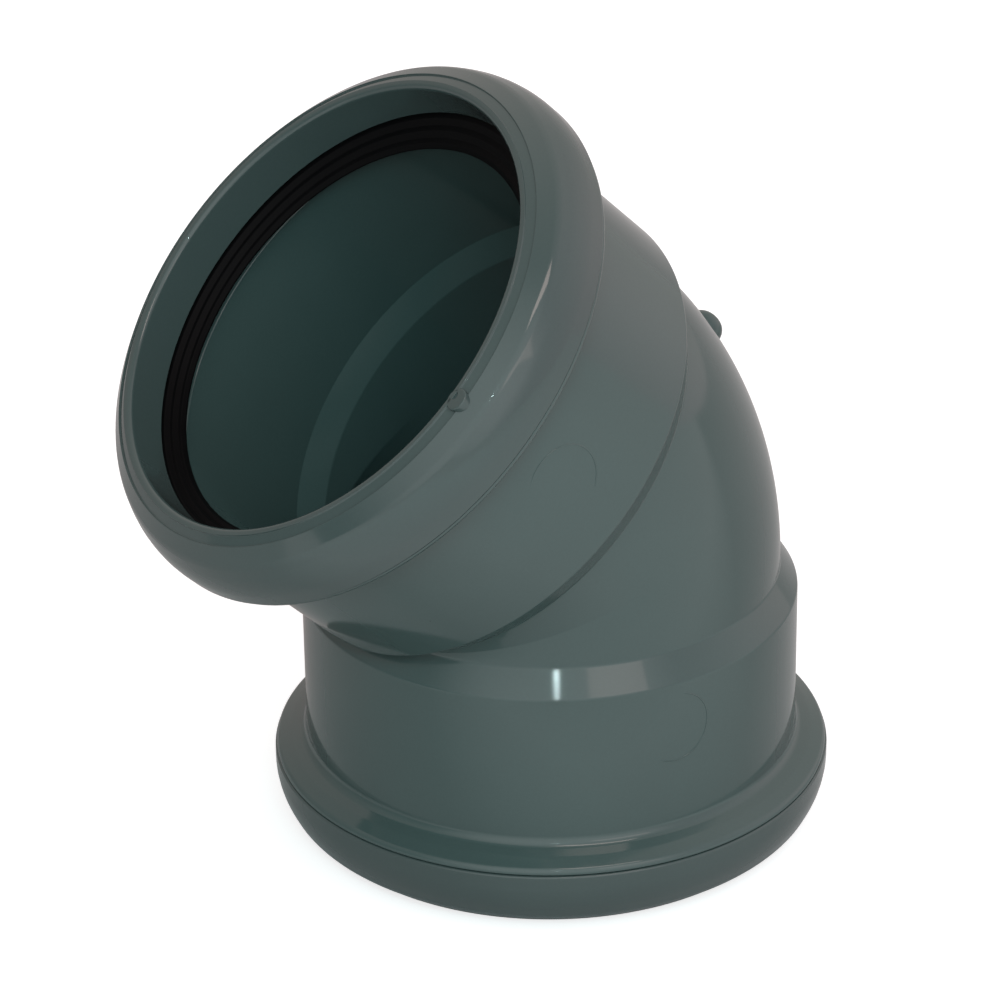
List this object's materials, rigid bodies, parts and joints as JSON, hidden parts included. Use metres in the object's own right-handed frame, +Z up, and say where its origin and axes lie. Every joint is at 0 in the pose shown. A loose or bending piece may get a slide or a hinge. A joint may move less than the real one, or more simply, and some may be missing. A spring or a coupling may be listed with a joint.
{
  "type": "pipe bend",
  "caption": "Grey plastic pipe bend with a push-fit socket at each end; each socket has a clip-on retaining cap that holds a black rubber lip seal.",
  "frame": {"origin": "centre of the lower mouth, on the plane of the lower cap's front face that the part stands on", "axes": "+Z up along the lower socket's axis, towards the bend; the upper mouth leans towards -X; Y is across the bend"},
  "size_m": [0.17, 0.134, 0.1885],
  "materials": {
    "pvc_body": "semi-gloss moulded grey PVC-U",
    "pvc_cap": "semi-gloss moulded grey PVC-U",
    "seal_rubber": "smooth black rubber"
  },
  "bodies": {
    "elbow": {"elbow_body": "pvc_body", "upper_seal_ring": "seal_rubber", "lower_seal_ring": "seal_rubber"},
    "upper_cap": {"upper_retaining_cap": "pvc_cap"},
    "lower_cap": {"lower_retaining_cap": "pvc_cap"}
  },
  "joints": [
    {"name": "upper_cap_turn", "type": "hinge", "parent": "elbow", "child": "upper_cap", "pos_m": [-0.06046, 0, 0.14596], "axis": [-0.7071, 0, 0.7071], "continuous": true},
    {"name": "lower_cap_turn", "type": "hinge", "parent": "elbow", "child": "lower_cap", "pos_m": [0, 0, 0], "axis": [0, 0, -1], "continuous": true}
  ]
}
